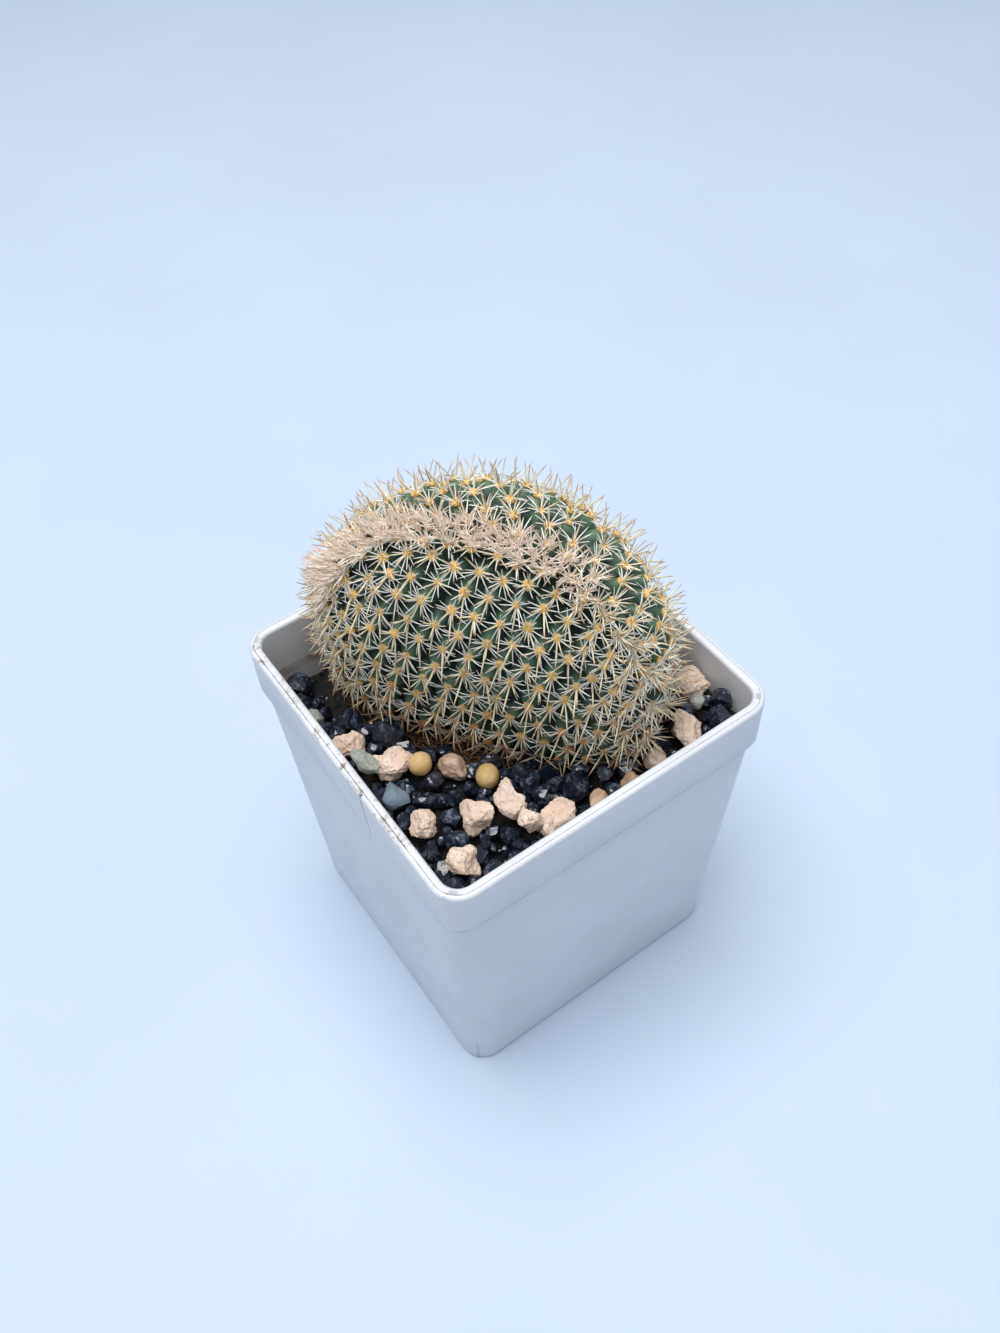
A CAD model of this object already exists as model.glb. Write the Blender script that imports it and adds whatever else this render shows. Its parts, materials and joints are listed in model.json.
"""Looks of a potted round cactus with a crested top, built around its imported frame.

Metres, +Z up, the origin under the middle of the pot. Every sub-assembly is a
class that holds its sizes and builds and dresses its own pieces.
"""

import json
import logging
import math
import random
from collections.abc import Callable, Iterator
from contextlib import contextmanager
from dataclasses import dataclass, field
from enum import Enum
from functools import cached_property

import bmesh
import bpy
import numpy as np
from mathutils import Matrix, Vector, kdtree, noise

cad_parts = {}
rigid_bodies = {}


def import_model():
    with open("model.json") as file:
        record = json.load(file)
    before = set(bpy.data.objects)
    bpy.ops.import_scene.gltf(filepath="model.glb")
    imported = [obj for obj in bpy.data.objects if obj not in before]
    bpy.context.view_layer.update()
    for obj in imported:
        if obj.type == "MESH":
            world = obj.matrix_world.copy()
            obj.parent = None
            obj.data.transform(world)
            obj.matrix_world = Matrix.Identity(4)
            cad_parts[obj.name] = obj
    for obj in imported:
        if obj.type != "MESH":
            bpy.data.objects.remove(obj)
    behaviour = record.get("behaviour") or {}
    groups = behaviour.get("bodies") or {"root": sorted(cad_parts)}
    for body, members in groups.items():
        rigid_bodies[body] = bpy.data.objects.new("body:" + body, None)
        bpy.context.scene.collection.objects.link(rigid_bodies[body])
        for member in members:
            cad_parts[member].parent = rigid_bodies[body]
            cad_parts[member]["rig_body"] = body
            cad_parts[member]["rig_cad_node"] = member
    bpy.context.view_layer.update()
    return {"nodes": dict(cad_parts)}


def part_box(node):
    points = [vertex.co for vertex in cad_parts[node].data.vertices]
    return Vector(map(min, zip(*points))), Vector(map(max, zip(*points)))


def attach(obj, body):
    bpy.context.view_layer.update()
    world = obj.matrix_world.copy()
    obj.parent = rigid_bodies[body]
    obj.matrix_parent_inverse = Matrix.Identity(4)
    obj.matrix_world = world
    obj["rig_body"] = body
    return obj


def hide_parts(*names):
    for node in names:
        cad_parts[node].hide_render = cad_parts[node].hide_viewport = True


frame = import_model()
log = logging.getLogger("cactus")

Colour = tuple[float, float, float]
MM = 0.001


class Solid(Enum):
    """Primitive that a piece starts from."""

    CUBE = "primitive_cube_add"
    BALL = "primitive_ico_sphere_add"
    CONE = "primitive_cone_add"
    ROD = "primitive_cylinder_add"
    GRID = "primitive_grid_add"


class Flank(Enum):
    """Side of the crest that a tubercle grows on."""

    FRONT = 0
    BACK = 1
    SEAM = 2


# ---------------------------------------------------------------- workbench


class Bench:
    """Modelling tools that act on one piece at a time."""

    @staticmethod
    def take(piece: bpy.types.Object) -> None:
        """Make a piece the only selected one.

        Args:
            piece: The piece.
        """
        bpy.ops.object.select_all(action="DESELECT")
        piece.select_set(True)
        bpy.context.view_layer.objects.active = piece

    @staticmethod
    def start(solid: Solid, name: str, **sizes: object) -> bpy.types.Object:
        """Add a primitive at its size and place.

        Args:
            solid: The primitive to start from.
            name: The piece's name.
            sizes: The primitive operator's own settings.

        Returns:
            The new piece, with its place in its mesh.
        """
        bpy.ops.object.select_all(action="DESELECT")
        getattr(bpy.ops.mesh, solid.value)(**sizes)
        piece = bpy.context.active_object
        piece.name = piece.data.name = name
        bpy.ops.object.transform_apply(location=True, rotation=True, scale=True)
        return piece

    @staticmethod
    @contextmanager
    def editing(piece: bpy.types.Object) -> Iterator[None]:
        """Open a piece in edit mode with nothing selected.

        Args:
            piece: The piece.
        """
        Bench.take(piece)
        bpy.ops.object.mode_set(mode="EDIT")
        bpy.ops.mesh.select_all(action="DESELECT")
        yield
        bpy.ops.object.mode_set(mode="OBJECT")

    @staticmethod
    def pick_faces(piece: bpy.types.Object, test: Callable[[Vector, Vector], bool]) -> None:
        """Select the faces whose centre and normal pass a test.

        Args:
            piece: The piece.
            test: Says of two vectors whether to select what they describe.
        """
        bpy.ops.mesh.select_mode(type="FACE")
        bpy.ops.mesh.select_all(action="DESELECT")
        built = bmesh.from_edit_mesh(piece.data)
        built.normal_update()
        for face in built.faces:
            if test(face.calc_center_median(), face.normal):
                face.select_set(True)
        bmesh.update_edit_mesh(piece.data)

    @staticmethod
    def pick_edges(piece: bpy.types.Object, test: Callable[[Vector, Vector], bool]) -> None:
        """Select the edges whose two ends pass a test.

        Args:
            piece: The piece.
            test: Says of two vectors whether to select what they describe.
        """
        bpy.ops.mesh.select_mode(type="EDGE")
        bpy.ops.mesh.select_all(action="DESELECT")
        built = bmesh.from_edit_mesh(piece.data)
        for edge in built.edges:
            if test(edge.verts[0].co, edge.verts[1].co):
                edge.select_set(True)
        bmesh.update_edit_mesh(piece.data)

    @staticmethod
    def extrude(rise: float, spread: float = 1.0) -> None:
        """Extrude the selected faces along Z and widen them about the Z axis.

        Args:
            rise: How far, in metres.
            spread: How much wider the end becomes.
        """
        bpy.ops.mesh.extrude_region_move(TRANSFORM_OT_translate={"value": (0, 0, rise)})
        if spread != 1.0:
            bpy.ops.transform.resize(value=(spread, spread, 1), center_override=(0, 0, 0))

    @staticmethod
    def modify(piece: bpy.types.Object, kind: str, **settings: object) -> None:
        """Add a modifier with its settings and apply it.

        Args:
            piece: The piece to change.
            kind: The modifier's type.
            settings: The modifier's own settings.
        """
        Bench.take(piece)
        added = piece.modifiers.new(kind.lower(), kind)
        for key, value in settings.items():
            setattr(added, key, value)
        bpy.ops.object.modifier_apply(modifier=added.name)

    @staticmethod
    def points(piece: bpy.types.Object) -> np.ndarray:
        """Vertex places of a piece, one row each.

        Args:
            piece: The piece.

        Returns:
            The places.
        """
        flat = np.zeros(len(piece.data.vertices) * 3)
        piece.data.vertices.foreach_get("co", flat)
        return flat.reshape(-1, 3)

    @staticmethod
    def move_points(piece: bpy.types.Object, places: np.ndarray) -> None:
        """Set the vertex places of a piece."""
        piece.data.vertices.foreach_set("co", places.astype(np.float32).ravel())
        piece.data.update()

    @staticmethod
    def normals(piece: bpy.types.Object) -> np.ndarray:
        """Vertex normals of a piece, one row each.

        Args:
            piece: The piece.

        Returns:
            The directions.
        """
        flat = np.zeros(len(piece.data.vertices) * 3, np.float32)
        piece.data.vertex_normals.foreach_get("vector", flat)
        return flat.reshape(-1, 3).astype(float)

    @staticmethod
    def mark(piece: bpy.types.Object, name: str, values: np.ndarray) -> None:
        """Store one number per vertex for a finish to read."""
        made = piece.data.attributes.new(name, "FLOAT", "POINT")
        made.data.foreach_set("value", values.astype(np.float32).ravel())

    @staticmethod
    def smooth(piece: bpy.types.Object, degrees: float = 180.0) -> None:
        """Shade a piece smooth, with its sharper edges kept crisp."""
        Bench.take(piece)
        bpy.ops.object.shade_smooth_by_angle(angle=math.radians(degrees))

    @staticmethod
    def discard(piece: bpy.types.Object) -> None:
        """Remove a helper that was only used to make others.

        Args:
            piece: The piece.
        """
        data = piece.data
        bpy.data.objects.remove(piece)
        bpy.data.meshes.remove(data)


def hand_over(piece: bpy.types.Object, finish: "Finish", slot: str, *nodes: str) -> None:
    """Dress a finished piece and fix it to the frame.

    Args:
        piece: The piece, with its place in its mesh.
        finish: What its surface is.
        slot: The record's material slot.
        nodes: CAD nodes that the piece stands for.
    """
    piece.data.materials.clear()
    piece.data.materials.append(finish.material)
    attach(piece, "root")
    if nodes:
        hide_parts(*nodes)
    faces = sum(len(polygon.vertices) - 2 for polygon in piece.data.polygons)
    log.info("%s: %d triangles, %s", piece.name, faces, slot)


@dataclass(frozen=True)
class Template:
    """Shape that is modelled once and copied many times."""

    points: np.ndarray
    quads: np.ndarray
    tris: np.ndarray

    @classmethod
    def of(cls, piece: bpy.types.Object) -> "Template":
        """Take a piece's shape and remove the piece.

        Args:
            piece: The piece.

        Returns:
            The shape.
        """
        sides: dict[int, list[list[int]]] = {3: [], 4: []}
        for polygon in piece.data.polygons:
            sides[len(polygon.vertices)].append(list(polygon.vertices))
        made = cls(Bench.points(piece), np.array(sides[4], int).reshape(-1, 4),
                   np.array(sides[3], int).reshape(-1, 3))
        Bench.discard(piece)
        return made

    def copies(self, name: str, placed: np.ndarray) -> bpy.types.Object:
        """Make one piece of many copies.

        Args:
            name: The new piece's name.
            placed: Where each copy's points are, as copies by points by 3.

        Returns:
            The new piece.
        """
        count, size = placed.shape[:2]
        first = (np.arange(count) * size)[:, None, None]
        faces = (self.quads[None] + first).reshape(-1, 4).tolist()
        faces += (self.tris[None] + first).reshape(-1, 3).tolist()
        mesh = bpy.data.meshes.new(name)
        mesh.from_pydata(placed.reshape(-1, 3).tolist(), [], faces)
        mesh.update()
        piece = bpy.data.objects.new(name, mesh)
        bpy.context.scene.collection.objects.link(piece)
        return piece


# ------------------------------------------------------------------ shaders


class Signal:
    """Value on a shader socket. Arithmetic on it adds Math nodes."""

    def __init__(self, recipe: "Recipe", socket: bpy.types.NodeSocket) -> None:
        """Wrap one output socket."""
        self.recipe = recipe
        self.socket = socket

    def __add__(self, other: "Signal | float") -> "Signal":
        """Sum."""
        return self.recipe.maths("ADD", self, other)

    def __sub__(self, other: "Signal | float") -> "Signal":
        """Difference."""
        return self.recipe.maths("SUBTRACT", self, other)

    def __rsub__(self, other: float) -> "Signal":
        """Difference from a number."""
        return self.recipe.maths("SUBTRACT", other, self)

    def __mul__(self, other: "Signal | float") -> "Signal":
        """Product."""
        return self.recipe.maths("MULTIPLY", self, other)

    __radd__ = __add__
    __rmul__ = __mul__

    def between(self, low: float, high: float) -> "Signal":
        """0 at low and below, 1 at high and above, smooth between them."""
        return self.recipe.node("ShaderNodeMapRange", {"interpolation_type": "SMOOTHSTEP"},
                                {"Value": self, "From Min": low, "From Max": high})


class Recipe:
    """Node tree of one material, with its Principled shader."""

    def __init__(self, name: str) -> None:
        """Start a material.

        Args:
            name: Its name.
        """
        self.material = bpy.data.materials.new(name)
        self.material.use_nodes = True
        self.tree = self.material.node_tree
        self.shader = self.tree.nodes["Principled BSDF"]

    def node(self, kind: str, settings: dict[str, object],
             inputs: dict[str | int, object], output: str | int = 0) -> Signal:
        """Add a node.

        Args:
            kind: The node's type.
            settings: Its own settings, which are set first.
            inputs: Values or signals for its sockets.
            output: Which of its outputs is wanted.

        Returns:
            That output.
        """
        added = self.tree.nodes.new(kind)
        for key, value in settings.items():
            setattr(added, key, value)
        for key, value in inputs.items():
            self.plug(added.inputs[key], value)
        return Signal(self, added.outputs[output])

    def plug(self, socket: bpy.types.NodeSocket, value: object) -> None:
        """Link a signal to a socket, or set a plain value on it.

        Args:
            socket: The socket.
            value: A signal, or a plain value.
        """
        if isinstance(value, Signal):
            self.tree.links.new(value.socket, socket)
        elif isinstance(value, tuple) and len(socket.default_value) == 4:
            socket.default_value = (*value, 1.0)
        else:
            socket.default_value = value

    def maths(self, operation: str, first: Signal | float, second: Signal | float) -> Signal:
        """Math node of two numbers."""
        return self.node("ShaderNodeMath", {"operation": operation}, {0: first, 1: second})

    def blend(self, share: Signal | float, first: Signal | Colour,
              second: Signal | Colour) -> Signal:
        """Mix two colours."""
        return self.node("ShaderNodeMix", {"data_type": "RGBA"},
                         {0: share, 6: first, 7: second}, 2)

    def mark(self, name: str) -> Signal:
        """Number stored on the piece's vertices."""
        return self.node("ShaderNodeAttribute", {"attribute_name": name}, {}, "Fac")

    @cached_property
    def place(self) -> Signal:
        """Object coordinates, in metres."""
        return self.node("ShaderNodeTexCoord", {}, {}, "Object")

    def height(self) -> Signal:
        """Height above the ground, in metres."""
        return self.node("ShaderNodeSeparateXYZ", {}, {0: self.place}, "Z")

    def grain(self, size: float, detail: float = 4.0, rough: float = 0.55) -> Signal:
        """Cloudy noise from 0 to 1 with features of a given size in metres."""
        return self.node("ShaderNodeTexNoise", {}, {"Vector": self.place, "Scale": 1 / size,
                                                    "Detail": detail, "Roughness": rough})

    def cells(self, size: float, output: str = "Distance", feature: str = "F1") -> Signal:
        """Cell noise of a given size in metres."""
        return self.node("ShaderNodeTexVoronoi", {"feature": feature},
                         {"Vector": self.place, "Scale": 1 / size}, output)

    def inset(self, half: float, corner: float) -> Signal:
        """Distance in from the sides of a rounded square about the Z axis, in metres.

        Args:
            half: Half its width.
            corner: The radius of its corners.

        Returns:
            The distance.
        """
        flat = self.vector("MULTIPLY", self.vector("ABSOLUTE", self.place), Vector((1, 1, 0)))
        straight = half - corner
        past = self.vector("SUBTRACT", flat, Vector((straight, straight, 0)))
        past = self.vector("MAXIMUM", past, Vector())
        return corner - self.node("ShaderNodeVectorMath", {"operation": "LENGTH"},
                                  {0: past}, "Value")

    def vector(self, operation: str, *values: "Signal | Vector") -> Signal:
        """Vector Math node."""
        return self.node("ShaderNodeVectorMath", {"operation": operation},
                         dict(enumerate(values)))

    def relief(self, height: Signal, depth: float, strength: float = 1.0) -> Signal:
        """Bump of a given depth in metres.

        Args:
            height: The signal that gives the height.
            depth: How deep it is, in metres.
            strength: How strongly it shows.

        Returns:
            The signal for Normal.
        """
        return self.node("ShaderNodeBump", {},
                         {"Height": height, "Distance": depth, "Strength": strength})

    def finish(self, **sockets: object) -> bpy.types.Material:
        """Set the shader's sockets, underscores standing for spaces.

        Args:
            sockets: Values or signals by socket.

        Returns:
            The material.
        """
        for key, value in sockets.items():
            self.plug(self.shader.inputs[key.replace("_", " ")], value)
        return self.material


# ----------------------------------------------------------------- finishes


@dataclass(frozen=True)
class Finish:
    """What a surface is made of."""

    name: str

    @cached_property
    def material(self) -> bpy.types.Material:
        """The finish as a material, made once."""
        return self.mixture(Recipe(self.name))

    def mixture(self, recipe: Recipe) -> bpy.types.Material:
        """Fill in a material."""
        raise NotImplementedError


@dataclass(frozen=True)
class MouldedPlastic(Finish):
    """White injection-moulded plastic that has stood outdoors."""

    fresh: Colour = (0.70, 0.72, 0.765)
    greyed: Colour = (0.655, 0.675, 0.715)
    dirt: Colour = (0.20, 0.135, 0.085)
    dust: Colour = (0.40, 0.37, 0.34)
    rim: float = 102.0 * MM
    band_foot: float = 88.0 * MM
    outside: float = 45.0 * MM
    corner: float = 6.9 * MM
    groove: float = 1.12 * MM  # its line on the lip, in from the outside
    lip_depth: float = 1.0 * MM  # of the part of the rim that gets dirty
    shadow_top: float = 1.9 * MM  # the dirt under the collar starts this far below its edge
    shadow_foot: float = 3.3 * MM
    wall: float = 2.45 * MM  # past this, in from the outside, is the inside

    def mixture(self, recipe: Recipe) -> bpy.types.Material:
        """Off-white with dirt on the lip, dust inside and below the collar, and specks.

        Args:
            recipe: The material to fill in.

        Returns:
            The material.
        """
        height = recipe.height()
        inward = recipe.inset(self.outside, self.corner)
        x = recipe.node("ShaderNodeSeparateXYZ", {}, {0: recipe.place}, "X")
        left = 1 - x.between(-42.5 * MM, -38 * MM)
        base = recipe.blend(recipe.grain(20 * MM).between(0.35, 0.7), self.fresh, self.greyed)
        lip = height.between(self.rim - self.lip_depth, self.rim - 0.2 * MM)
        line = (inward.between(self.groove - 0.22 * MM, self.groove - 0.06 * MM)
                * (1 - inward.between(self.groove + 0.06 * MM, self.groove + 0.22 * MM)))
        patches = recipe.grain(2.4 * MM, 6.0, 0.7)
        smudge = patches.between(0.52, 0.68) * left * 0.75 + patches.between(0.60, 0.76) * 0.14
        specks = 1 - recipe.cells(2.9 * MM).between(0.030, 0.062)
        sparse = recipe.grain(9 * MM, 2.0).between(0.50, 0.60)
        under = (height.between(self.band_foot - self.shadow_foot,
                                self.band_foot - self.shadow_top)
                 * (1 - height.between(self.band_foot, self.band_foot + 0.35 * MM)))
        under = under * (0.40 + 0.5 * recipe.grain(4 * MM, 5.0).between(0.42, 0.66))
        dirty = (lip * (smudge + line * (0.14 + 0.40 * left) * patches.between(0.34, 0.62))
                 + specks * sparse * 0.72 + under)
        colour = recipe.blend(dirty, base, self.dirt)
        inside = (inward - (self.rim - height) * 0.037).between(self.wall, self.wall + 0.30 * MM)
        deep = 1 - height.between(self.rim - 17 * MM, self.rim - 2 * MM)
        film = inside * (0.16 + 0.32 * deep + 0.5 * (recipe.grain(6 * MM, 5.0, 0.65) - 0.5))
        colour = recipe.blend(film, colour, self.dust)
        bump = recipe.relief(recipe.grain(0.6 * MM, 3.0), 0.035 * MM, 0.5)
        rough = 0.36 + 0.12 * recipe.grain(6 * MM) + 0.35 * dirty + 0.2 * film
        return recipe.finish(Base_Color=colour, Roughness=rough, Normal=bump,
                             Subsurface_Weight=0.10, Subsurface_Scale=0.002, IOR=1.5)


@dataclass(frozen=True)
class Peat(Finish):
    """Damp potting mix with dry fibres."""

    damp: Colour = (0.006, 0.005, 0.006)
    dry: Colour = (0.034, 0.019, 0.012)

    def mixture(self, recipe: Recipe) -> bpy.types.Material:
        """Near-black crumbs with rusty lighter flecks.

        Args:
            recipe: The material to fill in.

        Returns:
            The material.
        """
        crumbs = recipe.grain(1.6 * MM, 8.0, 0.72)
        flecks = recipe.cells(0.9 * MM, "Color")
        tint = recipe.node("ShaderNodeSeparateColor", {}, {0: flecks}, 0)
        colour = recipe.blend((crumbs * 0.7 + tint * 0.4).between(0.48, 0.95), self.damp, self.dry)
        bump = recipe.relief(crumbs + recipe.cells(0.8 * MM) * 0.6, 0.5 * MM, 0.9)
        return recipe.finish(Base_Color=colour, Roughness=0.72 + 0.25 * crumbs, Normal=bump)


@dataclass(frozen=True)
class Flesh(Finish):
    """Blue-green skin of the tubercles, paler at their tips and finely mealy."""

    gap: Colour = (0.008, 0.024, 0.018)
    side: Colour = (0.040, 0.098, 0.062)
    tip: Colour = (0.125, 0.235, 0.135)
    meal: Colour = (0.48, 0.58, 0.52)
    corky: Colour = (0.105, 0.070, 0.035)

    def mixture(self, recipe: Recipe) -> bpy.types.Material:
        """Shade from the gap to the tip, with pale dots and an old, corky foot.

        Args:
            recipe: The material to fill in.

        Returns:
            The material.
        """
        rise = recipe.mark("rise")
        cloud = recipe.grain(4.5 * MM, 3.0)
        lift = rise + (cloud - 0.5) * 0.35
        colour = recipe.blend(lift.between(0.10, 0.62), self.gap, self.side)
        colour = recipe.blend(lift.between(0.50, 1.05), colour, self.tip)
        dots = 1 - recipe.cells(0.42 * MM).between(0.10, 0.28)
        mealy = dots * recipe.grain(2.6 * MM, 3.0).between(0.38, 0.62)
        colour = recipe.blend(mealy * rise.between(0.15, 0.7) * 0.55, colour, self.meal)
        old = recipe.mark("age").between(0.90, 1.0) * recipe.grain(3 * MM).between(0.35, 0.6)
        colour = recipe.blend(old * 0.8, colour, self.corky)
        bump = recipe.relief(recipe.grain(0.35 * MM, 3.0) + dots * 0.5, 0.06 * MM, 0.6)
        rough = 0.44 + 0.22 * cloud
        return recipe.finish(Base_Color=colour, Roughness=rough, Normal=bump,
                             Subsurface_Weight=0.08, Subsurface_Scale=0.002,
                             Subsurface_Radius=Vector((0.4, 1.0, 0.3)))


@dataclass(frozen=True)
class Spine(Finish):
    """Horny spine: a swollen coloured foot, a paler shaft and a darker tip."""

    foot: Colour = (0.66, 0.40, 0.14)
    shaft: Colour = (0.86, 0.85, 0.78)
    tip: Colour = (0.78, 0.70, 0.56)
    tip_start: float = 0.78
    rusty: Colour = (0.27, 0.115, 0.045)
    glow: float = 0.0  # light that the crowded spines pass to each other

    def mixture(self, recipe: Recipe) -> bpy.types.Material:
        """Colour along the spine, weathered to rust with age.

        Args:
            recipe: The material to fill in.

        Returns:
            The material.
        """
        along, age, tone = recipe.mark("along"), recipe.mark("age"), recipe.mark("tone")
        colour = recipe.blend(along.between(0.02, 0.20), self.foot, self.shaft)
        colour = recipe.blend(along.between(self.tip_start, 1.0), colour, self.tip)
        rust = (age + (tone - 0.5) * 0.16).between(0.82, 0.98)
        colour = recipe.blend(rust * 0.92, colour, self.rusty)
        shade = 0.72 + 0.42 * tone
        colour = recipe.node("ShaderNodeHueSaturation", {}, {"Value": shade, "Color": colour})
        return recipe.finish(Base_Color=colour, Roughness=0.40 + 0.2 * tone,
                             Specular_IOR_Level=0.35, Emission_Color=colour,
                             Emission_Strength=self.glow)


@dataclass(frozen=True)
class Wool(Finish):
    """Felted wool of an areole."""

    young: Colour = (0.86, 0.54, 0.16)
    old: Colour = (0.58, 0.25, 0.09)
    crest: Colour = (0.80, 0.64, 0.46)

    def mixture(self, recipe: Recipe) -> bpy.types.Material:
        """Yellow when young, orange-brown when old, cream on the crest.

        Args:
            recipe: The material to fill in.

        Returns:
            The material.
        """
        age, tone = recipe.mark("age"), recipe.mark("tone")
        ripe = (age + (tone - 0.5) * 0.5).between(0.35, 0.95)
        colour = recipe.blend(ripe, self.young, self.old)
        colour = recipe.blend(recipe.mark("crest"), colour, self.crest)
        fuzz = recipe.grain(0.22 * MM, 4.0)
        colour = recipe.node("ShaderNodeHueSaturation", {},
                             {"Value": 0.62 + 0.35 * tone + 0.3 * fuzz, "Color": colour})
        return recipe.finish(Base_Color=colour, Roughness=0.95, Sheen_Weight=0.25,
                             Normal=recipe.relief(fuzz, 0.15 * MM, 0.8))


@dataclass(frozen=True)
class Rock(Finish):
    """Grained stone with pits and a dusting of its neighbours."""

    body: Colour = (0.66, 0.49, 0.39)
    vein: Colour = (0.76, 0.63, 0.53)
    pit: Colour = (0.24, 0.15, 0.10)
    grain_size: float = 1.5 * MM
    pit_size: float = 0.9 * MM
    pitting: float = 0.5
    roughness: float = 0.86

    def mixture(self, recipe: Recipe) -> bpy.types.Material:
        """Two close colours, darker in the pits.

        Args:
            recipe: The material to fill in.

        Returns:
            The material.
        """
        cloud = recipe.grain(self.grain_size * 3, 5.0, 0.6)
        fine = recipe.grain(self.grain_size * 0.35, 5.0, 0.7)
        pits = (1 - recipe.cells(self.pit_size).between(0.06, 0.30)) * cloud.between(0.42, 0.6)
        colour = recipe.blend(cloud.between(0.35, 0.68), self.body, self.vein)
        colour = recipe.blend(fine.between(0.56, 0.76) * 0.5, colour, self.pit)
        colour = recipe.blend(pits * self.pitting, colour, self.pit)
        hollow = fine * 0.5 + (1 - pits) * self.pitting
        return recipe.finish(Base_Color=colour, Roughness=self.roughness + 0.1 * (fine - 0.5),
                             Normal=recipe.relief(hollow, 0.22 * MM, 0.8))


@dataclass(frozen=True)
class Glass(Finish):
    """Black glassy slag: conchoidal faces with ashy patches."""

    body: Colour = (0.010, 0.014, 0.026)
    ash: Colour = (0.17, 0.22, 0.31)
    shine: float = 0.10

    def mixture(self, recipe: Recipe) -> bpy.types.Material:
        """Shiny where freshly broken, dull and bluish where weathered.

        Args:
            recipe: The material to fill in.

        Returns:
            The material.
        """
        cloud = recipe.grain(2.2 * MM, 5.0, 0.65)
        chips = recipe.cells(1.1 * MM, "Distance", "SMOOTH_F1")
        dull = cloud.between(0.50, 0.68)
        colour = recipe.blend(dull * 0.50, self.body, self.ash)
        bump = recipe.relief(chips + recipe.grain(0.5 * MM) * 0.15, 0.28 * MM, 0.7)
        return recipe.finish(Base_Color=colour, Roughness=self.shine + 0.42 * dull, Normal=bump,
                             Specular_IOR_Level=0.75)


@dataclass(frozen=True)
class Paper(Finish):
    """Plain pale studio floor."""

    colour: Colour = (0.56, 0.66, 0.80)

    def mixture(self, recipe: Recipe) -> bpy.types.Material:
        """Almost even, faintly clouded.

        Args:
            recipe: The material to fill in.

        Returns:
            The material.
        """
        cloud = recipe.grain(0.12, 3.0).between(0.2, 0.8)
        deeper = tuple(part * 0.95 for part in self.colour)
        return recipe.finish(Base_Color=recipe.blend(cloud, self.colour, deeper), Roughness=0.8)


# ------------------------------------------------------------ shared shapes


@dataclass(frozen=True)
class Cavity:
    """Inside of the pot, which everything else is fitted to."""

    lip: float = 2.9 * MM
    floor: float = 2.0 * MM
    foot: float = 38.65 * MM
    corner: float = 5.0 * MM
    fill_depth: float = 18.0 * MM
    low_corner: float = 5.5 * MM
    high_corner: float = 8.0 * MM

    @cached_property
    def rim(self) -> float:
        """Height of the rim."""
        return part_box("pot")[1].z

    @cached_property
    def outside(self) -> float:
        """Half width of the pot."""
        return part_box("pot")[1].x

    @property
    def mouth(self) -> float:
        """Half width of the mouth."""
        return self.outside - self.lip

    @property
    def level(self) -> float:
        """Height of the potting mix in the middle."""
        return self.rim - self.fill_depth

    def half(self, height: float) -> float:
        """Half width of the cavity at a height."""
        share = (height - self.floor) / (self.rim - self.floor)
        return self.foot + (self.mouth - self.foot) * share

    def ground(self, places: np.ndarray) -> np.ndarray:
        """Height of the potting mix, which sinks in one corner and is heaped in another.

        Args:
            places: Places as rows of x and y.

        Returns:
            A height for each place.
        """
        share = (places[:, 1] - places[:, 0]) / (2 * self.mouth)
        change = np.where(share > 0, -self.low_corner, self.high_corner)
        return self.level + change * share ** 2


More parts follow.
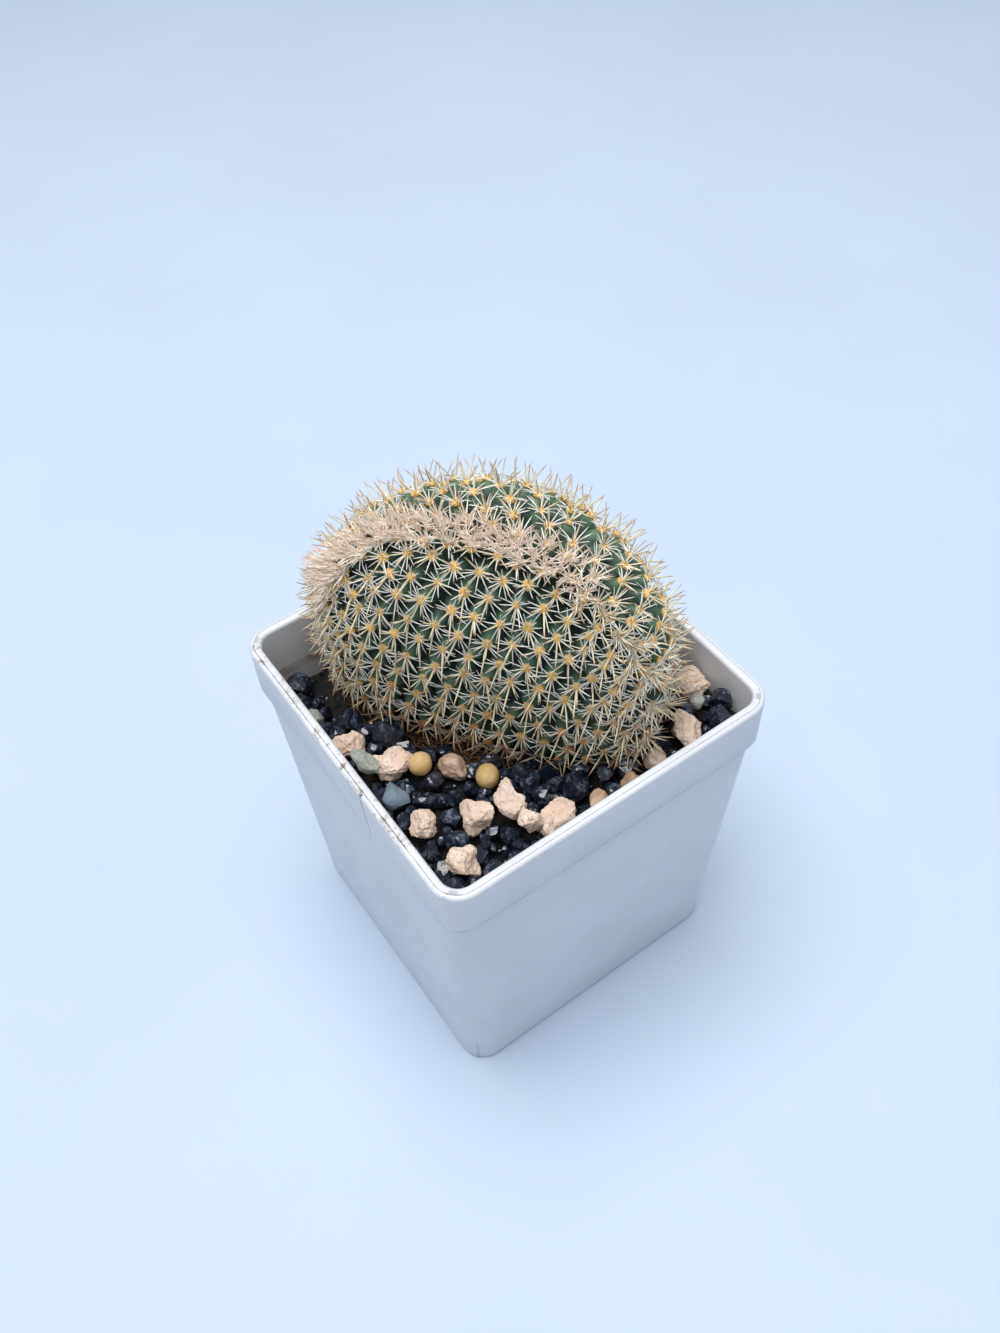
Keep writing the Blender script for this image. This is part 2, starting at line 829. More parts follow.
@dataclass(frozen=True)
class Loaf:
    """Smooth form of the plant under its tubercles, with a crest along the top."""

    cavity: Cavity
    bearing: float = math.radians(-55.4)
    offset: tuple[float, float] = (1.9 * MM, 4.3 * MM)
    half_length: float = 41.5 * MM
    depths: tuple[float, float] = (18.2 * MM, 29.3 * MM)
    squareness: tuple[float, float] = (3.5, 1.8)
    powers: tuple[float, float] = (2.3, 2.6)
    above_rim: float = 6.0 * MM
    tall: tuple[float, float] = (38.0 * MM, 34.0 * MM)
    wall_gap: float = 0.9 * MM
    crest_offset: float = -5.3 * MM
    crest_bow: float = 4.6  # per metre
    crest_half: float = 37.0 * MM
    seam_angle: float = math.radians(20)
    steepest: float = 1.4

    @property
    def along(self) -> np.ndarray:
        """Direction of the crest, seen from above."""
        return np.array((math.cos(self.bearing), math.sin(self.bearing)))

    @property
    def across(self) -> np.ndarray:
        """Direction from the front flank to the back one."""
        return np.array((-math.sin(self.bearing), math.cos(self.bearing)))

    @property
    def widest(self) -> float:
        """Height of the widest level."""
        return self.cavity.rim + self.above_rim

    def outline(self, angle: float | np.ndarray) -> np.ndarray:
        """Unscaled outline at an angle from the crest's direction.

        Args:
            angle: Angle from the direction of the crest.

        Returns:
            The distance out, before it is scaled.
        """
        cosine, sine = np.cos(angle), np.sin(angle)
        front = sine < 0
        power = 2 / np.where(front, *self.squareness)
        depth = np.where(front, *self.depths)
        run = np.copysign(np.abs(cosine) ** power, cosine) * self.half_length
        side = np.copysign(np.abs(sine) ** power, sine) * depth
        return np.multiply.outer(run, self.along) + np.multiply.outer(side, self.across)

    @cached_property
    def spread(self) -> float:
        """Scale that keeps the outline inside the mouth of the pot.

        Returns:
            The scale.
        """
        room = self.cavity.mouth - self.wall_gap
        reach = self.outline(np.radians(np.arange(360)))
        best = 10.0
        for axis, offset in enumerate(self.offset):
            part = reach[:, axis]
            part = part[np.abs(part) > 1e-6]
            best = min(best, ((room - np.sign(part) * offset) / np.abs(part)).min())
        return best

    def beside(self, flat: np.ndarray) -> tuple[np.ndarray, np.ndarray]:
        """Unscaled distances along and across the crest from the middle."""
        place = (flat - np.array(self.offset)) / self.spread
        return place @ self.along, place @ self.across

    def fullness(self, flat: np.ndarray) -> np.ndarray:
        """0 on the loaf's axis and 1 on its outline.

        Args:
            flat: Places as rows of x and y.

        Returns:
            A number for each place.
        """
        run, side = self.beside(flat)
        front = side < 0
        square = np.where(front, *self.squareness)
        deep = np.abs(side) / np.where(front, *self.depths)
        return ((np.abs(run) / self.half_length) ** square + deep ** square) ** (1 / square)

    def dome(self, flat: np.ndarray) -> np.ndarray:
        """Height of the upper skin."""
        full = np.minimum(self.fullness(flat), 1.0)
        return self.widest + self.tall[0] * (1 - full ** self.powers[0]) ** (1 / self.powers[0])

    def underside(self, flat: np.ndarray) -> np.ndarray:
        """Height of the lower skin."""
        full = np.minimum(self.fullness(flat), 1.0)
        return self.widest - self.tall[1] * (1 - full ** self.powers[1]) ** (1 / self.powers[1])

    def skin(self, directions: np.ndarray) -> np.ndarray:
        """Points of the smooth loaf in directions from the middle of its widest level.

        Args:
            directions: Directions, one row each.

        Returns:
            A point for each direction.
        """
        full = self.fullness(np.array(self.offset) + directions[:, :2])
        upper = directions[:, 2] >= 0
        power = np.where(upper, *self.powers)
        rise = np.abs(directions[:, 2]) / np.where(upper, *self.tall)
        size = (full ** power + rise ** power) ** (-1 / power)
        return np.array((*self.offset, self.widest)) + directions * size[:, None]

    def depth_in(self, points: np.ndarray) -> np.ndarray:
        """0 in the middle of the loaf and 1 on its skin.

        Args:
            points: Places, one row each.

        Returns:
            A number for each point.
        """
        rise = points[:, 2] - self.widest
        upper = rise >= 0
        power = np.where(upper, *self.powers)
        return (self.fullness(points[:, :2]) ** power
                + (np.abs(rise) / np.where(upper, *self.tall)) ** power)

    def outward(self, points: np.ndarray) -> np.ndarray:
        """Directions that the smooth skin faces.

        Args:
            points: Places, one row each.

        Returns:
            A direction for each point.
        """
        step = 0.2 * MM
        slopes = []
        for axis in range(3):
            nudge = np.zeros(3)
            nudge[axis] = step
            slopes.append(self.depth_in(points + nudge) - self.depth_in(points - nudge))
        slope = np.array(slopes).T
        return slope / np.linalg.norm(slope, axis=1, keepdims=True)

    def crest_line(self, along: np.ndarray | float) -> np.ndarray | float:
        """Where the crest runs beside the middle of the loaf."""
        return self.crest_offset - self.crest_bow * along ** 2

    def profile(self, angle: float, steps: int = 60) -> np.ndarray:
        """Skin points from the crest down one flank to the ground.

        Args:
            angle: Angle from the direction of the crest.
            steps: How many points to try.

        Returns:
            The points, in order.
        """
        run = math.cos(angle) * self.crest_half
        start = self.along * run + self.across * self.crest_line(run)
        end = self.outline(angle)
        share = np.sin(np.linspace(0, math.pi / 2, steps + 1))[:, None]
        flat = (start + (end - start) * share) * self.spread + np.array(self.offset)
        drops = -self.tall[1] * self.steepest * np.arange(1, steps + 1) / steps
        lower = np.column_stack([np.tile(end * self.spread, (steps, 1)), drops])
        return np.vstack([np.column_stack([flat, self.dome(flat)]), self.skin(lower)])


def lengths(chain: np.ndarray) -> np.ndarray:
    """Distance from the start of a chain of points to each of them."""
    return np.concatenate([[0.0], np.cumsum(np.linalg.norm(np.diff(chain, axis=0), axis=1))])


def walk(chain: np.ndarray, distance: float | np.ndarray) -> np.ndarray:
    """Point or points at a distance along a chain of points."""
    run = lengths(chain)
    return np.stack([np.interp(distance, run, chain[:, axis]) for axis in range(3)], axis=-1)


# -------------------------------------------------------------------- areoles


@dataclass(frozen=True)
class Areole:
    """Cushion at the tip of a tubercle."""

    tip: np.ndarray
    out: np.ndarray
    down: np.ndarray
    flank: Flank
    row: int
    share: float  # 0 at one end of its row, 1 at the other
    age: float  # 0 on the crest, 1 at the ground


@dataclass
class AreoleMap:
    """Where the areoles are: rows beside the crest, and a crowd along it."""

    loaf: Loaf
    columns: tuple[int, int] = (17, 18)
    rows: int = 12
    first_row: float = 3.0 * MM
    row_step: float = 4.6 * MM
    row_growth: float = 1.05
    lowest: float = 2.5 * MM
    youngest: float = 50.0 * MM  # height above the ground where age starts
    wander: float = 0.42 * MM
    crowd_step: float = 2.2 * MM
    crowd_lines: tuple[float, ...] = (-1.9 * MM, 0.0, 1.9 * MM)
    crowd_stops: tuple[float, float] = (1.0 * MM, 13.0 * MM)  # short of the crest's ends
    tail_step: float = 4.2 * MM

    def __post_init__(self) -> None:
        """Lay out all the areoles."""
        self.draw = random.Random(11)
        self.flanks = self.rows_beside_crest()
        self.crowd = self.crest_crowd()

    def rows_beside_crest(self) -> list[Areole]:
        """Areoles of every row on both flanks.

        Returns:
            The areoles.
        """
        found = []
        distance, step = self.first_row, self.row_step
        for row in range(self.rows):
            seam = self.loaf.seam_angle
            for flank, last in ((Flank.FRONT, math.tau - seam), (Flank.BACK, -seam)):
                found += self.half_row(flank, last, row, distance)
            if row % 2:
                found += self.on_seams(row, distance)
            distance += step
            step *= self.row_growth
        return found

    def half_row(self, flank: Flank, last: float, row: int, distance: float) -> list[Areole]:
        """Areoles of one row on one flank.

        Args:
            flank: Which flank.
            last: Angle at which the row ends; it starts at the left seam.
            row: The row's number, from the crest.
            distance: How far the row is from the crest.

        Returns:
            The areoles that are above the ground.
        """
        points, ahead = [], []
        for angle in np.linspace(math.pi + self.loaf.seam_angle, last, 81):
            profile = self.loaf.profile(float(angle))
            if lengths(profile)[-1] >= distance:
                points.append(walk(profile, distance))
                ahead.append(walk(profile, distance + 0.8 * MM))
        if len(points) < 2:
            return []
        chain, below = np.array(points), np.array(ahead) - np.array(points)
        run = lengths(chain)
        count = self.columns[flank.value]
        made = []
        for column in range(count):
            share = (column + 0.25 + 0.5 * (row % 2)) / count
            tip = walk(chain, share * run[-1])
            down = np.array([np.interp(share * run[-1], run, below[:, axis]) for axis in range(3)])
            made += self.grown(tip, down, flank, row, share)
        return made

    def on_seams(self, row: int, distance: float) -> list[Areole]:
        """Areoles that close a row where the two flanks meet, at both ends.

        Args:
            row: Number of the row.
            distance: How far the row lies from the crest, in metres.

        Returns:
            The areoles.
        """
        made = []
        for share, angle in ((0.0, math.pi + self.loaf.seam_angle), (1.0, -self.loaf.seam_angle)):
            profile = self.loaf.profile(angle)
            tip = walk(profile, distance)
            down = walk(profile, distance + 0.8 * MM) - tip
            made += self.grown(tip, down, Flank.BACK, row, share)
        return made

    def grown(self, tip: np.ndarray, down: np.ndarray, flank: Flank, row: int,
              share: float) -> list[Areole]:
        """The areole at a place, or none where it would be in the ground.

        Args:
            tip: Where it stands.
            down: The way down the flank.
            flank: The flank that it is on.
            row: Number of the row.
            share: How far along its row it is.

        Returns:
            A list of one areole or of none.
        """
        above = tip[2] - self.loaf.cavity.ground(tip[None, :2])[0]
        if above < self.lowest:
            return []
        age = 1 - min(1.0, above / self.youngest)
        return [self.areole(tip, down, flank, row, share, age)]

    def areole(self, tip: np.ndarray, down: np.ndarray, flank: Flank, row: int,
               share: float, age: float) -> Areole:
        """One areole, a little out of line, with its own directions.

        Args:
            tip: Where it stands.
            down: The way down the flank.
            flank: The flank that it is on.
            row: Number of the row.
            share: How far along its row it is.
            age: 0 when young, 1 when old.

        Returns:
            The areole.
        """
        jitter = np.array([self.draw.gauss(0, self.wander) for _ in range(3)])
        out = self.loaf.outward(tip[None])[0]
        jitter -= out * (jitter @ out)
        place = tip + jitter
        down = down - out * (down @ out)
        down /= np.linalg.norm(down) + 1e-12
        return Areole(place, out, down, flank, row, share, age)

    def crest_crowd(self) -> list[Areole]:
        """Young areoles crowded along the crest.

        Returns:
            The areoles.
        """
        loaf = self.loaf
        first, last = -loaf.crest_half + self.crowd_stops[0], loaf.crest_half - self.crowd_stops[1]
        chain = self.crest_chain(first, last)
        length = lengths(chain)[-1]
        found = []
        for line, offset in enumerate(self.crowd_lines):
            distance = self.crowd_step * (0.3 + line / len(self.crowd_lines))
            while distance < length:
                spot, out, aside = self.beside_chain(chain, distance)
                down = aside * math.copysign(1.0, offset + self.draw.gauss(0, 0.1 * MM))
                end = max(0.0, 1 - distance / (14 * MM), 1 - (length - distance) / (8 * MM))
                found.append(self.areole(spot + aside * offset * (1 + 0.4 * end), down,
                                         Flank.SEAM, line, distance / length, 0.3 * end))
                distance += self.crowd_step * (0.85 + 0.3 * self.draw.random())
        tail = self.crest_chain(last + self.tail_step / 2, loaf.crest_half)
        for distance in np.arange(0.0, lengths(tail)[-1], self.tail_step):
            spot, _, aside = self.beside_chain(tail, distance)
            self.flanks += self.grown(spot, aside, Flank.BACK, 0, 1.0)
        return found

    def crest_chain(self, first: float, last: float) -> np.ndarray:
        """Points of the crest between two places along it.

        Args:
            first: Where to start, along the crest.
            last: Where to end, along the crest.

        Returns:
            The points, in order.
        """
        loaf = self.loaf
        run = np.linspace(first, last, 121)
        flat = np.multiply.outer(run, loaf.along)
        flat += np.multiply.outer(loaf.crest_line(run), loaf.across)
        flat = flat * loaf.spread + np.array(loaf.offset)
        return np.column_stack([flat, loaf.dome(flat)])

    def beside_chain(self, chain: np.ndarray,
                     distance: float) -> tuple[np.ndarray, np.ndarray, np.ndarray]:
        """Point of a chain, the way the skin faces there, and the way off the crest.

        Args:
            chain: The points, in order.
            distance: How far the row lies from the crest, in metres.

        Returns:
            The point and the two directions.
        """
        spot = walk(chain, distance)
        ahead = walk(chain, distance + 0.5 * MM) - walk(chain, distance - 0.5 * MM)
        out = self.loaf.outward(spot[None])[0]
        return spot, out, np.cross(out, ahead / np.linalg.norm(ahead))


# ---------------------------------------------------------------------- plant


@dataclass
class Body:
    """Flesh of the cactus: one grown piece covered in tubercles."""

    loaf: Loaf
    areoles: AreoleMap
    refinement: int = 7
    relief: float = 1.15  # depth of a gap against half the distance between tips
    steepness: float = 1.75
    fade: float = 5.0 * MM
    furrow_depth: float = 1.2 * MM
    furrow_width: float = 5.0 * MM

    def build(self) -> None:
        """Draw a ball out to the loaf and sink the gaps between the tubercles."""
        piece = Bench.start(Solid.BALL, "cactus_flesh", subdivisions=self.refinement, radius=1.0)
        points = self.loaf.skin(Bench.points(piece))
        out = self.loaf.outward(points)
        rise, age, near = self.cells(points)
        sunk = self.relief * near * (1 - rise) * self.fading(points)
        run, side = self.loaf.beside(points[:, :2])
        aside = side - self.loaf.crest_line(run)
        sunk += (self.furrow_depth * np.exp(-(aside / self.furrow_width) ** 2)
                 * (points[:, 2] > self.loaf.widest))
        wrinkles = np.array([noise.noise(Vector(point) * 420) for point in points])
        sunk += 0.12 * MM * wrinkles
        Bench.move_points(piece, points - out * sunk[:, None])
        Bench.mark(piece, "rise", rise)
        Bench.mark(piece, "age", age)
        Bench.smooth(piece)
        hand_over(piece, Flesh("flesh"), "flesh", "cactus_body")

    def cells(self, points: np.ndarray) -> tuple[np.ndarray, np.ndarray, np.ndarray]:
        """For each point, its rise towards the nearest tip, its age, and half its cell.

        Args:
            points: Places, one row each.

        Returns:
            The three, for each point.
        """
        tips = self.areoles.flanks + self.areoles.crowd
        tree = kdtree.KDTree(len(tips))
        for index, areole in enumerate(tips):
            tree.insert(areole.tip, index)
        tree.balance()
        rise, age, near = (np.zeros(len(points)) for _ in range(3))
        for number, point in enumerate(points):
            (_, index, first), (_, _, second) = tree.find_n(point, 2)
            near[number] = min((first + second) / 2, 3.9 * MM)
            share = min(1.0, 2 * first / (first + second))
            reach = min(1.0, first / (3.9 * MM))
            rise[number] = 1 - max(share ** self.steepness, reach ** 2)
            age[number] = tips[index].age
        return rise, age, near

    def fading(self, points: np.ndarray) -> np.ndarray:
        """1 well above the ground and 0 at it, where the tubercles end."""
        above = points[:, 2] - self.loaf.cavity.ground(points[:, :2])
        return np.clip(above / self.fade, 0.0, 1.0)


@dataclass(frozen=True)
class SpineSet:
    """Many spines' places and shapes, one row each."""

    rows: list[tuple]

    def arrays(self) -> list[np.ndarray]:
        """Foot, direction, bend, length, radius, age and tone as arrays."""
        return [np.array(column, float) for column in zip(*self.rows)]


@dataclass
class SpineMaker:
    """Models one spine and copies it onto every areole."""

    areoles: AreoleMap
    sides: int = 5
    rings: tuple[tuple[float, float], ...] = ((0.05, 1.25), (0.16, 0.86), (0.50, 0.80), (0.80, 0.55))
    radial_radius: float = 0.165 * MM
    central_radius: float = 0.230 * MM
    radial_count: float = 11.0  # round a young areole, on average
    radial_lengths: tuple[float, float] = (3.6, 1.1)  # in mm: above it, and how much more below
    long_lengths: tuple[float, float] = (5.8, 7.0)  # in mm, of the one that droops
    short_lengths: tuple[float, float] = (3.0, 4.8)  # in mm, beside that one
    upright_lengths: tuple[float, float] = (4.6, 6.6)  # in mm, where none droops
    dying_lengths: tuple[float, float] = (4.6, 7.4)  # in mm, next to the ground
    dying_age: float = 0.88
    crest_count: int = 13
    crest_lengths: tuple[float, float] = (3.6, 5.8)  # in mm
    draw: random.Random = field(default_factory=lambda: random.Random(5))

    def template(self) -> Template:
        """One straight spine of unit length, swollen at its foot.

        Returns:
            The shape.
        """
        piece = Bench.start(Solid.CONE, "spine", vertices=self.sides, radius1=1.0, radius2=0.0,
                            depth=1.0, location=(0, 0, 0.5), end_fill_type="NOTHING")
        with Bench.editing(piece):
            for share, _ in self.rings:
                bpy.ops.mesh.select_all(action="SELECT")
                bpy.ops.mesh.bisect(plane_co=(0, 0, share), plane_no=(0, 0, 1))
        points = Bench.points(piece)
        stops = [(0.0, 1.0), *self.rings, (1.0, 0.0)]
        wide = np.interp(points[:, 2], *zip(*stops))
        span = np.linalg.norm(points[:, :2], axis=1, keepdims=True)
        points[:, :2] *= wide[:, None] / np.maximum(span, 1e-9)
        Bench.move_points(piece, points)
        return Template.of(piece)

    def build(self) -> None:
        """Make every set of spines."""
        template = self.template()
        radials: dict[Flank, list] = {flank: [] for flank in Flank}
        centrals: dict[Flank, list] = {flank: [] for flank in Flank}
        for areole in self.areoles.flanks:
            radials[areole.flank] += self.radials(areole)
            centrals[areole.flank] += self.centrals(areole)
        for areole in self.areoles.crowd:
            radials[Flank.SEAM] += self.crest_spines(areole)
        clusters = sorted(name for name in frame["nodes"] if name.startswith("spine_cluster"))
        half = len(clusters) // 2
        white = Spine("radial_spine")
        cream = Spine("central_spine", foot=(0.62, 0.36, 0.16), shaft=(0.78, 0.69, 0.49),
                      tip=(0.42, 0.175, 0.06), tip_start=0.52)
        young = Spine("crest_spine", foot=(0.80, 0.64, 0.52), shaft=(0.94, 0.86, 0.78),
                      tip=(0.58, 0.33, 0.19), tip_start=0.62, glow=0.10)
        self.lay(template, "radial_spines_front", radials[Flank.FRONT], white, clusters[:half])
        self.lay(template, "radial_spines_back", radials[Flank.BACK], white, clusters[half:])
        self.lay(template, "central_spines_front", centrals[Flank.FRONT], cream)
        self.lay(template, "central_spines_back", centrals[Flank.BACK], cream)
        self.lay(template, "crest_spines", radials[Flank.SEAM], young)

    def radials(self, areole: Areole) -> list[tuple]:
        """White spines spread round an areole, longest below it.

        Args:
            areole: The areole that bears them.

        Returns:
            A row for each spine.
        """
        lost = 3 * max(0.0, areole.age - 0.6) / 0.4
        count = round(self.draw.gauss(self.radial_count, 1.2) - lost)
        start = self.draw.random() * math.tau
        young = max(0.0, 1 - areole.row / 2.5)
        vigour = self.draw.uniform(0.90, 1.12)
        least, more = self.radial_lengths
        made = []
        for number in range(count):
            turn = start + math.tau * (number + self.draw.uniform(-0.38, 0.38)) / count
            low = 0.5 + 0.5 * math.cos(turn)
            rise = math.radians(self.draw.gauss(19 + 20 * young + 9 * (1 - low), 8))
            length = (least + more * low) * vigour * self.draw.uniform(0.78, 1.14)
            made.append(self.spine(areole, turn, rise, length * MM, self.radial_radius,
                                   self.draw.gauss(-0.20, 0.10)))
        return made

    def centrals(self, areole: Areole) -> list[tuple]:
        """Stout spines in the middle: one long, and a few more upright.

        Args:
            areole: The areole that bears them.

        Returns:
            A row for each spine.
        """
        made = []
        front = areole.flank is Flank.FRONT
        sinking = front and areole.row >= 2
        twist = math.radians(6 - 44 * max(0.0, areole.share - 0.35)) if front else 0.0
        if sinking:
            grown = min(1.0, (areole.row - 1) / 4)
            turn = twist + self.draw.gauss(0, 0.22)
            rise = math.radians(self.draw.gauss(34, 8))
            length = self.draw.uniform(*self.long_lengths) + 1.6 * grown
            made.append(self.spine(areole, turn, rise, length * MM, self.central_radius, -0.03))
        dying = areole.age > self.dying_age
        count = (2 if sinking else 3) + (self.draw.random() < 0.5) + 2 * dying
        start = self.draw.random() * math.tau
        for number in range(count):
            turn = start + math.tau * (number + self.draw.uniform(-0.2, 0.2)) / count
            rise = math.radians(self.draw.gauss(34 if dying else 58, 10))
            usual = self.short_lengths if sinking else self.upright_lengths
            length = self.draw.uniform(*usual)
            if dying:
                length = self.draw.uniform(*self.dying_lengths)
            made.append(self.spine(areole, turn, rise, length * MM, self.central_radius * 0.9, 0.0))
        return made

    def crest_spines(self, areole: Areole) -> list[tuple]:
        """Fine young spines that stand up and lean off the crest.

        Args:
            areole: The areole that bears them.

        Returns:
            A row for each spine.
        """
        made = []
        for _ in range(self.crest_count):
            turn = self.draw.uniform(-math.pi, math.pi)
            rise = math.radians(90 - abs(self.draw.gauss(0, 30)))
            length = self.draw.uniform(*self.crest_lengths) + 0.8 * areole.age / 0.3
            made.append(self.spine(areole, turn, rise, length * MM, self.radial_radius * 0.95,
                                   self.draw.gauss(0.0, 0.06)))
        return made

    def spine(self, areole: Areole, turn: float, rise: float, length: float, radius: float,
              bend: float) -> tuple:
        """One spine.

        Args:
            areole: The areole it grows from.
            turn: Its direction round the areole, 0 pointing away from the crest.
            rise: Its angle above the skin.
            length: Its length.
            radius: Its radius near the foot.
            bend: How far its tip bends off the skin, as a share of its length.

        Returns:
            A row for a SpineSet.
        """
        side = np.cross(areole.out, areole.down)
        flat = areole.down * math.cos(turn) + side * math.sin(turn)
        direction = flat * math.cos(rise) + areole.out * math.sin(rise)
        foot = areole.tip + areole.out * 0.15 * MM + flat * 0.45 * MM * math.cos(rise)
        thick = radius * self.draw.uniform(0.85, 1.15)
        return (foot, direction, areole.out * bend, length, thick,
                areole.age, self.draw.random())

    def lay(self, template: Template, name: str, rows: list[tuple], finish: Finish,
            nodes: list[str] | None = None) -> None:
        """Copy the spine to every place in a set.

        Args:
            template: The shape to copy.
            name: Name of the new piece.
            rows: What each copy needs, one row each.
            finish: The finish.
            nodes: CAD nodes that the piece replaces.
        """
        foot, direction, bend, length, radius, age, tone = SpineSet(rows).arrays()
        along = template.points[:, 2]
        helper = np.where(np.abs(direction[:, 2:3]) < 0.9, [[0, 0, 1.0]], [[1.0, 0, 0]])
        first = np.cross(direction, helper)
        first /= np.linalg.norm(first, axis=1, keepdims=True)
        second = np.cross(direction, first)
        run = along[None, :, None] * length[:, None, None]
        placed = (foot[:, None] + direction[:, None] * run
                  + bend[:, None] * run * along[None, :, None]
                  + first[:, None] * template.points[None, :, 0:1] * radius[:, None, None]
                  + second[:, None] * template.points[None, :, 1:2] * radius[:, None, None])
        piece = template.copies(name, placed)
        Bench.mark(piece, "along", np.tile(along, (len(foot), 1)))
        Bench.mark(piece, "age", np.repeat(age, len(along)))
        Bench.mark(piece, "tone", np.repeat(tone, len(along)))
        Bench.smooth(piece)
        hand_over(piece, finish, "spines", *(nodes or ()))


@dataclass
class WoolMaker:
    """Felted cushions on the tips of the tubercles."""

    areoles: AreoleMap
    radius: float = 1.22 * MM
    thickness: float = 0.70 * MM
    draw: random.Random = field(default_factory=lambda: random.Random(8))

    def build(self) -> None:
        """Model one lumpy cushion and copy it to every areole."""
        piece = Bench.start(Solid.BALL, "cushion", subdivisions=2, radius=1.0)
        points = Bench.points(piece)
        lumps = np.array([1 + 0.22 * noise.noise(Vector(point) * 2.3) for point in points])
        Bench.move_points(piece, points * lumps[:, None])
        template = Template.of(piece)
        everyone = self.areoles.flanks + self.areoles.crowd
        placed = []
        for areole in everyone:
            small = 0.55 if areole.flank is Flank.SEAM else 1.0
            small *= self.draw.uniform(0.85, 1.15) * (1 - 0.25 * max(0.0, areole.age - 0.7))
            side = np.cross(areole.out, areole.down)
            axes = np.array([areole.down * self.radius, side * self.radius,
                             areole.out * self.thickness]) * small
            placed.append(areole.tip + template.points @ axes)
        piece = template.copies("areole_wool", np.array(placed))
        size = len(template.points)
        Bench.mark(piece, "age", np.repeat([areole.age for areole in everyone], size))
        crest = [float(areole.flank is Flank.SEAM) for areole in everyone]
        Bench.mark(piece, "crest", np.repeat(crest, size))
        Bench.mark(piece, "tone", np.repeat([self.draw.random() for _ in everyone], size))
        Bench.smooth(piece)
        hand_over(piece, Wool("wool"), "spines")


@dataclass
class Litter:
    """Fallen spines and dry fibres on the mix, below the front flank."""

    loaf: Loaf
    spines: SpineMaker
    count: int = 300
    radius: float = 0.11 * MM
    draw: random.Random = field(default_factory=lambda: random.Random(17))

    def build(self) -> None:
        """Scatter copies of a spine along the foot of the plant."""
        rows = []
        while len(rows) < self.count:
            run = self.draw.uniform(-34 * MM, 24 * MM)
            side = -self.draw.uniform(9 * MM, 26 * MM)
            flat = (self.loaf.along * run + self.loaf.across * side) * self.loaf.spread
            flat += np.array(self.loaf.offset)
            ground = float(self.loaf.cavity.ground(flat[None])[0])
            room = self.loaf.cavity.half(ground) - 4 * MM
            inside = self.loaf.fullness(flat[None])[0] < 1.0
            clear = not inside or self.loaf.underside(flat[None])[0] > ground + 1.0 * MM
            if not clear or np.abs(flat).max() > room:
                continue
            turn, tilt = self.draw.uniform(-math.pi, math.pi), self.draw.gauss(0.05, 0.16)
            direction = np.array((math.cos(turn) * math.cos(tilt),
                                  math.sin(turn) * math.cos(tilt), math.sin(tilt)))
            foot = np.array((*flat, ground + self.draw.uniform(0.4, 1.5) * MM))
            bend = np.array([self.draw.gauss(0, 0.12) for _ in range(3)])
            rows.append((foot, direction, bend, self.draw.uniform(2.5, 7.0) * MM,
                         self.radius * self.draw.uniform(0.7, 1.3), 1.0, self.draw.random()))
        straw = Spine("fallen_spine", foot=(0.24, 0.12, 0.05), shaft=(0.36, 0.20, 0.09),
                      tip=(0.20, 0.09, 0.04), rusty=(0.20, 0.085, 0.034))
        self.spines.lay(self.spines.template(), "fallen_spines", rows, straw)


# ------------------------------------------------------------------------ pot


